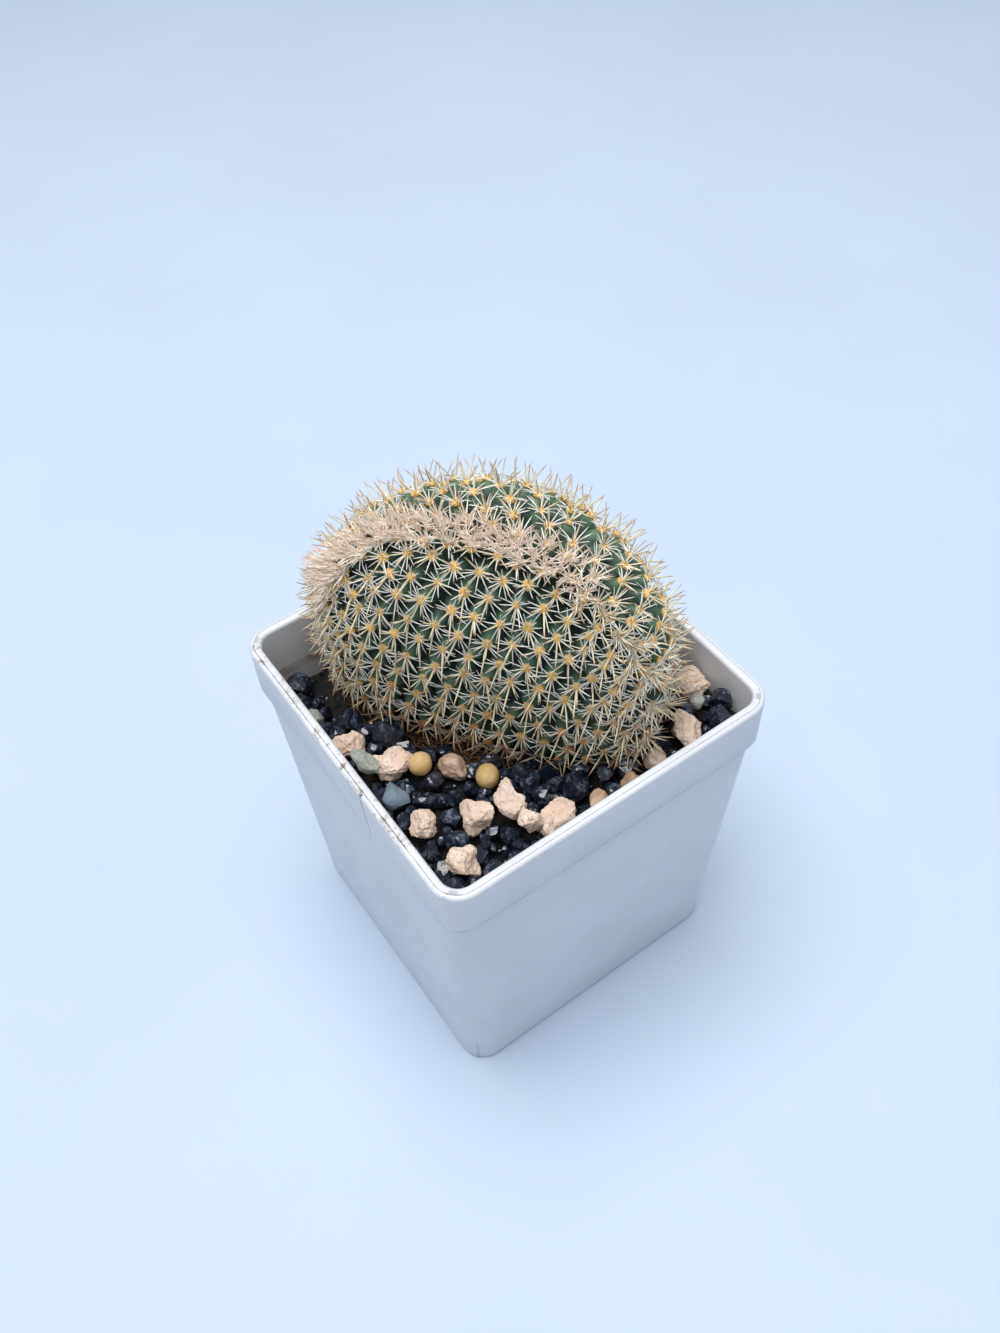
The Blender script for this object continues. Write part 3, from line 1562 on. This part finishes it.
@dataclass
class Pot:
    """Square tapered pot with a collar, a grooved lip and four drain holes."""

    cavity: Cavity
    base_half: float = 40.35 * MM
    band_height: float = 14.0 * MM
    band_step: float = 1.1 * MM
    corner: float = 6.9 * MM
    corner_steps: int = 10
    lip_rounding: float = 0.9 * MM
    groove: float = 0.24 * MM
    drain_radius: float = 3.5 * MM
    drain_spacing: float = 40.0 * MM
    crack_place: float = -10.6 * MM
    crack_width: float = 0.50 * MM

    def build(self) -> None:
        """Shape a cube into the pot, then cut the drain holes and the crack."""
        rim, outside = self.cavity.rim, self.cavity.outside
        band_foot = rim - self.band_height
        wall_half = outside - self.band_step
        piece = Bench.start(Solid.CUBE, "pot_shell", size=1.0, location=(0, 0, band_foot / 2),
                            scale=(2 * self.base_half, 2 * self.base_half, band_foot))
        with Bench.editing(piece):
            self.pick_top(piece)
            grow = wall_half / self.base_half
            bpy.ops.transform.resize(value=(grow, grow, 1), center_override=(0, 0, 0))
            Bench.pick_edges(piece, lambda a, b: abs(a.z - b.z) > band_foot / 2)
            bpy.ops.mesh.bevel(offset=self.corner, segments=self.corner_steps, affect="EDGES")
            self.pick_top(piece)
            Bench.extrude(0.0, outside / wall_half)
            self.pick_top(piece)
            Bench.extrude(self.band_height)
            self.round_edge(piece, rim, self.lip_rounding, 4)
            self.pick_top(piece)
            bpy.ops.mesh.inset(thickness=0.12 * MM)
            bpy.ops.mesh.inset(thickness=0.10 * MM, depth=-self.groove)
            bpy.ops.mesh.inset(thickness=0.10 * MM, depth=self.groove)
            bpy.ops.mesh.inset(thickness=self.cavity.lip - self.lip_rounding - 0.32 * MM)
            sink = self.cavity.foot / self.cavity.mouth
            Bench.extrude(self.cavity.floor - rim, sink)
            self.round_inner_lip(piece)
            Bench.pick_edges(piece, lambda a, b: self.flat_at(a, b, self.cavity.floor))
            bpy.ops.mesh.bevel(offset=1.2 * MM, segments=3, affect="EDGES")
            Bench.pick_edges(piece, lambda a, b: self.flat_at(a, b, 0.0))
            bpy.ops.mesh.bevel(offset=1.2 * MM, segments=3, affect="EDGES")
            Bench.pick_edges(piece, lambda a, b: self.flat_at(a, b, band_foot)
                             and self.widest_of(a, b) > wall_half + 0.5 * self.band_step)
            bpy.ops.mesh.bevel(offset=0.3 * MM, segments=2, affect="EDGES")
            Bench.pick_faces(piece, lambda centre, normal: normal.z < -0.9
                             and centre.z < 0.5 * MM and centre.xy.length < 1 * MM)
            bpy.ops.mesh.inset(thickness=4.0 * MM)
            bpy.ops.mesh.inset(thickness=0.4 * MM, depth=-0.5 * MM)
        self.drill(piece)
        self.crack(piece, band_foot)
        Bench.smooth(piece, 38)
        plastic = MouldedPlastic("moulded_plastic", rim=rim, band_foot=band_foot,
                                 outside=outside, corner=self.corner)
        hand_over(piece, plastic, "white_plastic", "pot")

    @staticmethod
    def pick_top(piece: bpy.types.Object) -> None:
        """Select the highest upward face.

        Args:
            piece: The piece.
        """
        top = max(vertex.co.z for vertex in bmesh.from_edit_mesh(piece.data).verts)
        Bench.pick_faces(piece, lambda centre, normal: normal.z > 0.9 and centre.z > top - 1e-5
                         and centre.xy.length < 1 * MM)

    @staticmethod
    def flat_at(first: Vector, second: Vector, height: float) -> bool:
        """True for an edge that lies at a height."""
        return abs(first.z - height) < 2e-5 and abs(second.z - height) < 2e-5

    @staticmethod
    def widest_of(first: Vector, second: Vector) -> float:
        """Half width that an edge's middle reaches, along X or Y."""
        middle = (first + second) / 2
        return max(abs(middle.x), abs(middle.y))

    def round_edge(self, piece: bpy.types.Object, height: float, radius: float,
                   steps: int) -> None:
        """Round every edge that lies at a height."""
        Bench.pick_edges(piece, lambda a, b: self.flat_at(a, b, height))
        bpy.ops.mesh.bevel(offset=radius, segments=steps, affect="EDGES")

    def round_inner_lip(self, piece: bpy.types.Object) -> None:
        """Round the edge between the flat of the lip and the cavity.

        Args:
            piece: The piece.
        """
        limit = self.cavity.mouth + 0.1 * MM
        Bench.pick_edges(piece, lambda a, b: self.flat_at(a, b, self.cavity.rim)
                         and self.widest_of(a, b) < limit)
        bpy.ops.mesh.bevel(offset=self.lip_rounding, segments=4, affect="EDGES")

    def drill(self, piece: bpy.types.Object) -> None:
        """Cut the four drain holes.

        Args:
            piece: The piece.
        """
        for side_x in (-0.5, 0.5):
            for side_y in (-0.5, 0.5):
                place = (side_x * self.drain_spacing, side_y * self.drain_spacing, 0.0)
                cutter = Bench.start(Solid.ROD, "drill", vertices=32, radius=self.drain_radius,
                                     depth=8 * self.cavity.floor, location=place)
                Bench.modify(piece, "BOOLEAN", operation="DIFFERENCE", object=cutter)
                Bench.discard(cutter)

    def crack(self, piece: bpy.types.Object, band_foot: float) -> None:
        """Cut the fine, leaning crack in the collar of the -X wall.

        Args:
            piece: The piece.
            band_foot: Height of the lower edge of the collar.
        """
        middle = (self.cavity.rim + band_foot) / 2
        cutter = Bench.start(Solid.CUBE, "saw", size=1.0,
                             location=(-self.cavity.outside, self.crack_place, middle - 1 * MM),
                             scale=(1.6 * MM, self.crack_width, self.band_height + 3 * MM))
        with Bench.editing(cutter):
            bpy.ops.mesh.select_all(action="SELECT")
            bpy.ops.mesh.subdivide(number_cuts=5)
        points = Bench.points(cutter)
        down = (self.cavity.rim - points[:, 2]) / self.band_height
        points[:, 1] += 0.8 * MM * np.sin(down * 2.4) - 2.8 * MM * down
        Bench.move_points(cutter, points)
        Bench.modify(piece, "BOOLEAN", operation="DIFFERENCE", object=cutter)
        Bench.discard(cutter)


# --------------------------------------------------------------------- filling


@dataclass
class PottingMix:
    """Peaty mix, rough on top and hollowed under the plant."""

    cavity: Cavity
    loaf: Loaf
    cuts: int = 200
    gap: float = 0.3 * MM
    bed_gap: float = 1.0 * MM
    crumbs: tuple[tuple[float, float], ...] = ((5.0 * MM, 1.3 * MM), (1.9 * MM, 0.75 * MM),
                                               (0.8 * MM, 0.30 * MM))

    def build(self) -> None:
        """Shape a grid into the surface and close it down to the pot's floor."""
        half = self.cavity.half(self.cavity.level) - self.gap
        piece = Bench.start(Solid.GRID, "soil", x_subdivisions=self.cuts,
                            y_subdivisions=self.cuts, size=2 * half)
        points = Bench.points(piece)
        points[:, :2] = self.round_corners(points[:, :2], half, self.cavity.corner)
        points[:, 2] = self.surface(points[:, :2])
        Bench.move_points(piece, points)
        low = self.cavity.floor + self.gap
        with Bench.editing(piece):
            bpy.ops.mesh.select_mode(type="EDGE")
            bpy.ops.mesh.select_non_manifold()
            foot = self.cavity.half(low) - 5 * self.gap
            bpy.ops.mesh.extrude_region_move()
            bpy.ops.transform.resize(value=(foot / half, foot / half, 0),
                                     center_override=(0, 0, low))
            bpy.ops.mesh.edge_face_add()
        Bench.smooth(piece, 60)
        hand_over(piece, Peat("peat"), "potting_mix", "potting_mix")

    def surface(self, flat: np.ndarray) -> np.ndarray:
        """Crumbly height of the mix, under the plant as well.

        Args:
            flat: Places as rows of x and y.

        Returns:
            A height for each place.
        """
        height = self.cavity.ground(flat)
        for size, depth in self.crumbs:
            height = height + depth * np.array(
                [noise.noise(Vector((x / size, y / size, size * 900))) for x, y in flat])
        hollow = np.where(self.loaf.fullness(flat) < 1.0,
                          self.loaf.underside(flat) - self.bed_gap, np.inf)
        edge = np.minimum(height, hollow)
        return np.maximum(edge, self.cavity.floor + 8 * MM)

    @staticmethod
    def round_corners(flat: np.ndarray, half: float, radius: float) -> np.ndarray:
        """Pull the corners of a square in to a radius.

        Args:
            flat: Places as rows of x and y.
            half: Half its width.
            radius: The radius.

        Returns:
            The new places.
        """
        inner = half - radius
        past = np.maximum(np.abs(flat) - inner, 0.0)
        reach = np.linalg.norm(past, axis=1)
        share = np.where((past > 0).all(axis=1) & (reach > 1e-9),
                         past.max(axis=1) / np.maximum(reach, 1e-9), 1.0)
        pulled = np.minimum(np.abs(flat), inner) + past * share[:, None]
        return np.sign(flat) * pulled


class Wear(Enum):
    """How a kind of stone came to its shape."""

    POROUS = "porous"
    WORN = "worn"
    ROUND = "round"
    BROKEN = "broken"


@dataclass(frozen=True)
class StoneKind:
    """One kind of stone: its slot, its finish and its wear."""

    slot: str
    finish: Finish
    wear: Wear


def stone_kinds() -> dict[str, StoneKind]:
    """Kinds of stone by the names of their CAD nodes.

    Returns:
        A kind for each name.
    """
    beige = Rock("beige_rock", pitting=0.62)
    brown = Rock("brown_rock", body=(0.47, 0.31, 0.21), vein=(0.60, 0.45, 0.33),
                 pit=(0.22, 0.12, 0.07), pitting=0.35)
    yellow = Rock("yellow_rock", body=(0.55, 0.36, 0.13), vein=(0.66, 0.50, 0.27),
                  pit=(0.30, 0.16, 0.06), pitting=0.55, roughness=0.7)
    grey = Rock("grey_rock", body=(0.28, 0.30, 0.27), vein=(0.44, 0.45, 0.41),
                pit=(0.12, 0.13, 0.12), pitting=0.25, grain_size=0.9 * MM)
    blue = Rock("blue_rock", body=(0.10, 0.14, 0.19), vein=(0.22, 0.28, 0.34),
                pit=(0.04, 0.05, 0.07), pitting=0.2, roughness=0.62)
    return {
        "beige_stone": StoneKind("beige_stone", beige, Wear.POROUS),
        "brown_stone": StoneKind("brown_stone", brown, Wear.WORN),
        "yellow_pebble": StoneKind("yellow_pebble", yellow, Wear.ROUND),
        "grey_stone": StoneKind("grey_stone", grey, Wear.WORN),
        "blue_stone": StoneKind("blue_stone", blue, Wear.BROKEN),
        "black_shard": StoneKind("black_shard", Glass("black_glass"), Wear.BROKEN),
    }


@dataclass
class Gravel:
    """Stones on top of the mix, with small shards and grit between them."""

    cavity: Cavity
    loaf: Loaf
    draw: random.Random = field(default_factory=lambda: random.Random(21))
    shard_sizes: tuple[tuple[float, int], ...] = ((6.6 * MM, 900), (5.0 * MM, 900),
                                                  (3.6 * MM, 900), (2.2 * MM, 900),
                                                  (1.2 * MM, 900))
    crowding: float = 0.66
    heap: float = 2.6 * MM
    bare_reach: float = 1.14  # only grit lies nearer to the front flank than this
    bare_end: float = 12.0 * MM  # up to here along the crest
    chips: tuple[int, int] = (6, 3)  # sides flattened on a porous stone, and on a worn one
    chip_depths: tuple[float, float] = (0.55, 0.80)  # of its half size, from its middle
    chip_flatness: float = 0.88
    cuts: int = 9  # that shape a large shard
    cut_depths: tuple[float, float] = (0.42, 0.78)
    grit_cuts: int = 8  # that shape a small one
    grit_depths: tuple[float, float] = (0.5, 0.8)
    shard_shapes: int = 6
    pale_share: float = 0.06
    pale_limit: float = 1.6 * MM  # no larger shard is pale
    heaped: float = 1.2 * MM  # and larger ones may lie on others

    def build(self) -> None:
        """Make every stone, then fill in between them."""
        kinds = stone_kinds()
        spots = []
        for node in sorted(frame["nodes"]):
            kind = kinds.get(node[:-3])
            if kind:
                spots.append(self.stone(node, kind))
        self.fill_in(spots, kinds)

    def stone(self, node: str, kind: StoneKind) -> tuple[float, float, float]:
        """Detail one stone from a copy of its CAD solid, and say where it is.

        Args:
            node: Name of the CAD node.
            kind: Its kind.

        Returns:
            Its place along X and Y, and its radius.
        """
        low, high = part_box(node)
        if kind.wear is Wear.BROKEN:
            piece = self.broken(f"{node}_fine", (low + high) / 2, high - low)
        else:
            piece = self.worn(node, kind.wear)
        hand_over(piece, kind.finish, kind.slot, node)
        middle = (low + high) / 2
        return middle.x, middle.y, ((high - low).x + (high - low).y) / 4

    def worn(self, node: str, wear: Wear) -> bpy.types.Object:
        """Rounded stone, with lumps and pits by its wear.

        Args:
            node: Name of the CAD node that it details.
            wear: How it is worn.

        Returns:
            The piece.
        """
        source = frame["nodes"][node]
        piece = source.copy()
        piece.data = source.data.copy()
        piece.parent = None
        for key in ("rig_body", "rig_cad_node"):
            if key in piece:
                del piece[key]
        piece.name = piece.data.name = f"{node}_fine"
        bpy.context.scene.collection.objects.link(piece)
        with Bench.editing(piece):
            bpy.ops.mesh.select_all(action="SELECT")
            bpy.ops.mesh.remove_doubles(threshold=1e-6)
        Bench.modify(piece, "SUBSURF", levels=4, render_levels=4)
        points, out = Bench.points(piece), Bench.normals(piece)
        size = (points.max(0) - points.min(0)).mean()
        depth = {Wear.POROUS: (0.17, 0.066, 0.026), Wear.WORN: (0.14, 0.040, 0.013),
                 Wear.ROUND: (0.02, 0.008, 0.004)}[wear]
        if wear is not Wear.ROUND:
            points = self.chip(points, self.chips[wear is Wear.WORN])
        rise = np.zeros(len(points))
        for share, part in zip(depth, (0.50, 0.20, 0.075)):
            scale = part * size
            rise += share * size * np.array([noise.noise(Vector(p) / scale) for p in points])
        if wear is Wear.POROUS:
            pits = np.array([noise.voronoi(Vector(p) / (0.19 * size))[0][0] for p in points])
            rise -= 0.060 * size * np.clip(1 - pits / 0.30, 0, 1)
        points = points + out * rise[:, None]
        low, high = (np.array(corner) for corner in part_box(node))
        share = (points - points.min(0)) / (points.max(0) - points.min(0))
        Bench.move_points(piece, low + share * (high - low))
        Bench.smooth(piece)
        return piece

    def chip(self, points: np.ndarray, count: int) -> np.ndarray:
        """Flatten a stone on a few sides, as it broke.

        Args:
            points: Places, one row each.
            count: How many sides to flatten.

        Returns:
            The new points.
        """
        middle = (points.max(0) + points.min(0)) / 2
        half = (points.max(0) - points.min(0)) / 2
        local = (points - middle) / half
        for _ in range(count):
            facing = np.array([self.draw.gauss(0, 1) for _ in range(3)])
            facing /= np.linalg.norm(facing)
            past = np.maximum(local @ facing - self.draw.uniform(*self.chip_depths), 0.0)
            local -= np.multiply.outer(past * self.chip_flatness, facing)
        return middle + local * half

    def broken(self, name: str, middle: Vector, size: Vector) -> bpy.types.Object:
        """Angular shard: a ball cut by planes, with slightly worn edges.

        Args:
            name: Its name.
            middle: Its middle.
            size: Its size along each axis.

        Returns:
            The piece.
        """
        piece = Bench.start(Solid.BALL, name, subdivisions=4, radius=1.0)
        with Bench.editing(piece):
            for _ in range(self.cuts):
                facing = Vector([self.draw.gauss(0, 1) for _ in range(3)]).normalized()
                deep = self.draw.uniform(*self.cut_depths)
                bpy.ops.mesh.select_all(action="SELECT")
                bpy.ops.mesh.bisect(plane_co=facing * deep, plane_no=facing, use_fill=True,
                                    clear_outer=True)
        Bench.modify(piece, "BEVEL", width=0.03, segments=2, limit_method="ANGLE",
                     angle_limit=math.radians(24))
        points = Bench.points(piece)
        points -= (points.max(0) + points.min(0)) / 2
        points *= np.array(size) / (points.max(0) - points.min(0))
        Bench.move_points(piece, points + np.array(middle))
        Bench.smooth(piece, 22)
        return piece

    def fill_in(self, spots: list[tuple[float, float, float]],
                kinds: dict[str, StoneKind]) -> None:
        """Scatter shards and grit where the ground is still open.

        Args:
            spots: Place and radius of each stone so far; new ones are added.
            kinds: Kinds of stone by node name.
        """
        shards = [self.shard_template(number) for number in range(self.shard_shapes)]
        placed: list[list[np.ndarray]] = [[] for _ in range(2 * len(shards))]
        room = self.cavity.half(self.cavity.level) - 0.3 * MM
        for size, tries in self.shard_sizes:
            for _ in range(tries):
                radius = size / 2 * self.draw.uniform(0.8, 1.2)
                x, y = (self.draw.uniform(-room + radius, room - radius) for _ in range(2))
                pick = self.draw.randrange(len(shards))
                light = self.draw.random() < self.pale_share
                spin = [self.draw.uniform(-math.pi, math.pi) for _ in range(3)]
                stretch = [self.draw.uniform(0.8, 1.15) for _ in range(3)]
                if self.blocked(x, y, radius, room, spots):
                    continue
                spots.append((x, y, radius))
                turn = Matrix.Rotation(spin[0], 3, "X") @ Matrix.Rotation(spin[1], 3, "Y")
                turn = np.array(turn @ Matrix.Rotation(spin[2], 3, "Z"))
                ground = float(self.cavity.ground(np.array([[x, y]]))[0])
                light = light and radius < self.pale_limit
                lift = self.heap * self.draw.random() if radius > self.heaped else 0.0
                centre = np.array((x, y, ground + 0.70 * radius + lift))
                shape = shards[pick].points * np.array(stretch) * radius
                placed[pick + len(shards) * light].append(shape @ turn.T + centre)
        for number, copies in enumerate(placed):
            if not copies:
                continue
            template = shards[number % len(shards)]
            light = number >= len(shards)
            kind = kinds["beige_stone" if light else "black_shard"]
            name = f"{'pale' if light else 'black'}_grit_{number % len(shards) + 1}"
            piece = template.copies(name, np.array(copies))
            Bench.smooth(piece, 22)
            hand_over(piece, kind.finish, kind.slot)

    def blocked(self, x: float, y: float, radius: float, room: float,
                spots: list[tuple[float, float, float]]) -> bool:
        """True where a stone would be in the wall, the plant or another stone.

        Args:
            x: Place along X.
            y: Place along Y.
            radius: Its radius.
            room: Half the width of the open ground.
            spots: Place and radius of each stone so far; new ones are added.

        Returns:
            Whether it would be.
        """
        corner = np.maximum(np.abs([x, y]) - (room - self.cavity.corner), 0)
        if np.linalg.norm(corner) > self.cavity.corner - radius:
            return True
        place = np.array([[x, y]])
        ground = self.cavity.ground(place)[0]
        full, large = self.loaf.fullness(place)[0], radius > 0.8 * MM
        if full < 1.0 and self.loaf.underside(place)[0] < ground + 1.6 * radius:
            return True
        run, side = self.loaf.beside(place)
        if large and side[0] < 0 and run[0] < self.bare_end and full < self.bare_reach:
            return True
        return any(math.hypot(x - a, y - b) < self.crowding * (radius + c) for a, b, c in spots)

    def shard_template(self, number: int) -> Template:
        """Small angular shard of unit radius, with few faces.

        Args:
            number: Number of the shard.

        Returns:
            The shape.
        """
        piece = Bench.start(Solid.BALL, f"shard_{number}", subdivisions=2, radius=1.0)
        with Bench.editing(piece):
            for _ in range(self.grit_cuts):
                facing = Vector([self.draw.gauss(0, 1) for _ in range(3)]).normalized()
                deep = self.draw.uniform(*self.grit_depths)
                bpy.ops.mesh.select_all(action="SELECT")
                bpy.ops.mesh.bisect(plane_co=facing * deep, plane_no=facing, use_fill=True,
                                    clear_outer=True)
            bpy.ops.mesh.select_all(action="SELECT")
            bpy.ops.mesh.dissolve_limited(angle_limit=math.radians(9))
            bpy.ops.mesh.select_all(action="SELECT")
            bpy.ops.mesh.quads_convert_to_tris()
        shard = Template.of(piece)
        return Template(shard.points / np.abs(shard.points).max(), shard.quads, shard.tris)


# ---------------------------------------------------------------------- studio


@dataclass(frozen=True)
class Studio:
    """Pale floor, soft light from almost straight above, and the camera."""

    lens: float = 32.57
    place: tuple[float, float, float] = (-0.09657, -0.14670, 0.32058)
    heading: float = 0.9898
    dip: float = 0.8932
    roll: float = -0.0490

    def build(self) -> None:
        """Set everything up."""
        self.floor()
        self.lights()
        self.camera()

    def floor(self) -> None:
        """Lay the floor just under the pot."""
        piece = Bench.start(Solid.GRID, "floor", x_subdivisions=8, y_subdivisions=8, size=6.0,
                            location=(0, 0, -0.1 * MM))
        piece.data.materials.append(Paper("pale_paper").material)

    def lights(self) -> None:
        """Hang one large soft light and a faint second, in a pale surround."""
        for name, place, size, power, colour in (
                ("window", (-0.14, 0.06, 1.30), 1.0, 18.0, (1.0, 0.985, 0.96)),
                ("bounce", (0.65, -0.75, 0.75), 1.0, 1.2, (0.90, 0.95, 1.0))):
            light = bpy.data.lights.new(name, "AREA")
            light.shape = "DISK"
            light.size = size
            light.energy = power
            light.color = colour
            hung = bpy.data.objects.new(name, light)
            hung.location = place
            aim = Vector((0, 0, 0.09)) - Vector(place)
            hung.rotation_mode = "QUATERNION"
            hung.rotation_quaternion = aim.to_track_quat("-Z", "Y")
            bpy.context.scene.collection.objects.link(hung)
        world = bpy.data.worlds.new("surround")
        world.use_nodes = True
        shade = world.node_tree.nodes["Background"]
        shade.inputs["Color"].default_value = (0.80, 0.88, 1.0, 1.0)
        shade.inputs["Strength"].default_value = 0.40
        bpy.context.scene.world = world
        bpy.context.scene.view_settings.view_transform = "Standard"

    def camera(self) -> None:
        """Stand the camera above the near corner, looking down."""
        ahead = Vector((math.cos(self.dip) * math.cos(self.heading),
                        math.cos(self.dip) * math.sin(self.heading), -math.sin(self.dip)))
        level = ahead.cross(Vector((0, 0, 1))).normalized()
        above = level.cross(ahead)
        right = level * math.cos(self.roll) + above * math.sin(self.roll)
        up = above * math.cos(self.roll) - level * math.sin(self.roll)
        turn = Matrix((right, up, -ahead)).transposed()
        lens = bpy.data.cameras.new("camera")
        lens.lens = self.lens
        lens.sensor_width = 36.0
        lens.sensor_fit = "AUTO"
        lens.clip_start, lens.clip_end = 0.01, 20.0
        standing = bpy.data.objects.new("camera", lens)
        standing.matrix_world = Matrix.Translation(Vector(self.place)) @ turn.to_4x4()
        bpy.context.scene.collection.objects.link(standing)
        bpy.context.scene.camera = standing


def main() -> None:
    """Build every sub-assembly in order."""
    logging.basicConfig(level=logging.INFO, format="%(name)s: %(message)s")
    cavity = Cavity()
    loaf = Loaf(cavity)
    areoles = AreoleMap(loaf)
    log.info("%d areoles on the flanks, %d on the crest", len(areoles.flanks), len(areoles.crowd))
    Studio().build()
    Pot(cavity).build()
    PottingMix(cavity, loaf).build()
    Body(loaf, areoles).build()
    WoolMaker(areoles).build()
    spines = SpineMaker(areoles)
    spines.build()
    Litter(loaf, spines).build()
    Gravel(cavity, loaf).build()


if __name__ == "__main__":
    main()
